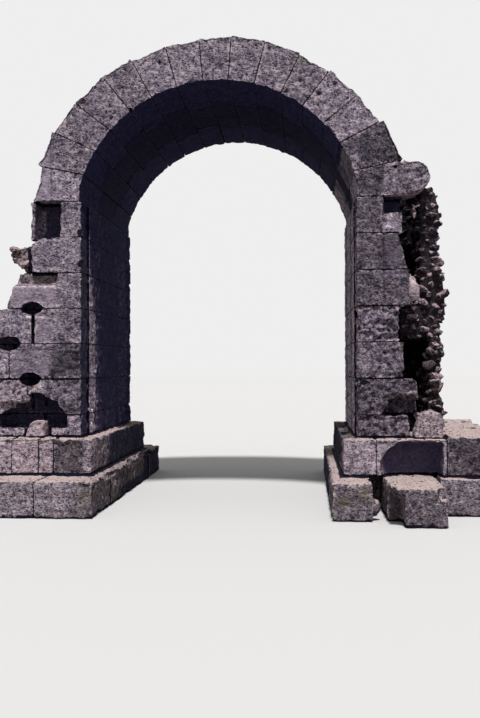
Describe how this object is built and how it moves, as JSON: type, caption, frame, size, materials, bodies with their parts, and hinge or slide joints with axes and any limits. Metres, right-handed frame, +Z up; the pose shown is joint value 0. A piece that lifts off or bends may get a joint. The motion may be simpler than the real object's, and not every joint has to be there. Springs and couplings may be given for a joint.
{
  "type": "ruined triumphal arch",
  "caption": "Ruined stone triumphal arch: a round barrel of wedge stones on two broken piers with rubble cores, each on a stepped plinth and footing.",
  "frame": {"origin": "centre of the passage, midway between the two faces, at the level of the footing's underside", "axes": "+X across the passage to the right as seen from the front, the front face looks towards -Y, +Z up"},
  "size_m": [9.79, 7.264, 7.8003],
  "materials": {
    "ring_stone": "matte",
    "barrel_stone": "matte",
    "pier_stone": "matte",
    "rubble_core": "matte",
    "base_stone": "matte"
  },
  "bodies": {
    "root": {"voussoir_01": "ring_stone", "voussoir_02": "ring_stone", "voussoir_03": "ring_stone", "voussoir_04": "ring_stone", "voussoir_05": "ring_stone", "voussoir_06": "ring_stone", "voussoir_07": "ring_stone", "voussoir_08": "ring_stone", "voussoir_09": "ring_stone", "voussoir_10": "ring_stone", "voussoir_11": "ring_stone", "voussoir_12": "ring_stone", "voussoir_13": "ring_stone", "voussoir_14": "ring_stone", "voussoir_15": "ring_stone", "middle_ring_odd_stones": "barrel_stone", "middle_ring_even_stones": "barrel_stone", "back_ring_odd_stones": "ring_stone", "back_ring_even_stones": "ring_stone", "left_course_1": "pier_stone", "left_course_2": "pier_stone", "left_course_3": "pier_stone", "left_course_4": "pier_stone", "left_course_5": "pier_stone", "left_course_6": "pier_stone", "left_course_7": "pier_stone", "right_course_1": "pier_stone", "right_course_2": "pier_stone", "right_course_3": "pier_stone", "right_course_4": "pier_stone", "right_course_5": "pier_stone", "right_course_6": "pier_stone", "right_course_7": "pier_stone", "left_core": "rubble_core", "right_core": "rubble_core", "left_plinth": "base_stone", "right_plinth": "base_stone", "left_footing": "base_stone", "right_footing": "base_stone", "cave_stone": "base_stone", "plinth_stone": "base_stone", "wedge_stone": "base_stone"}
  },
  "joints": []
}
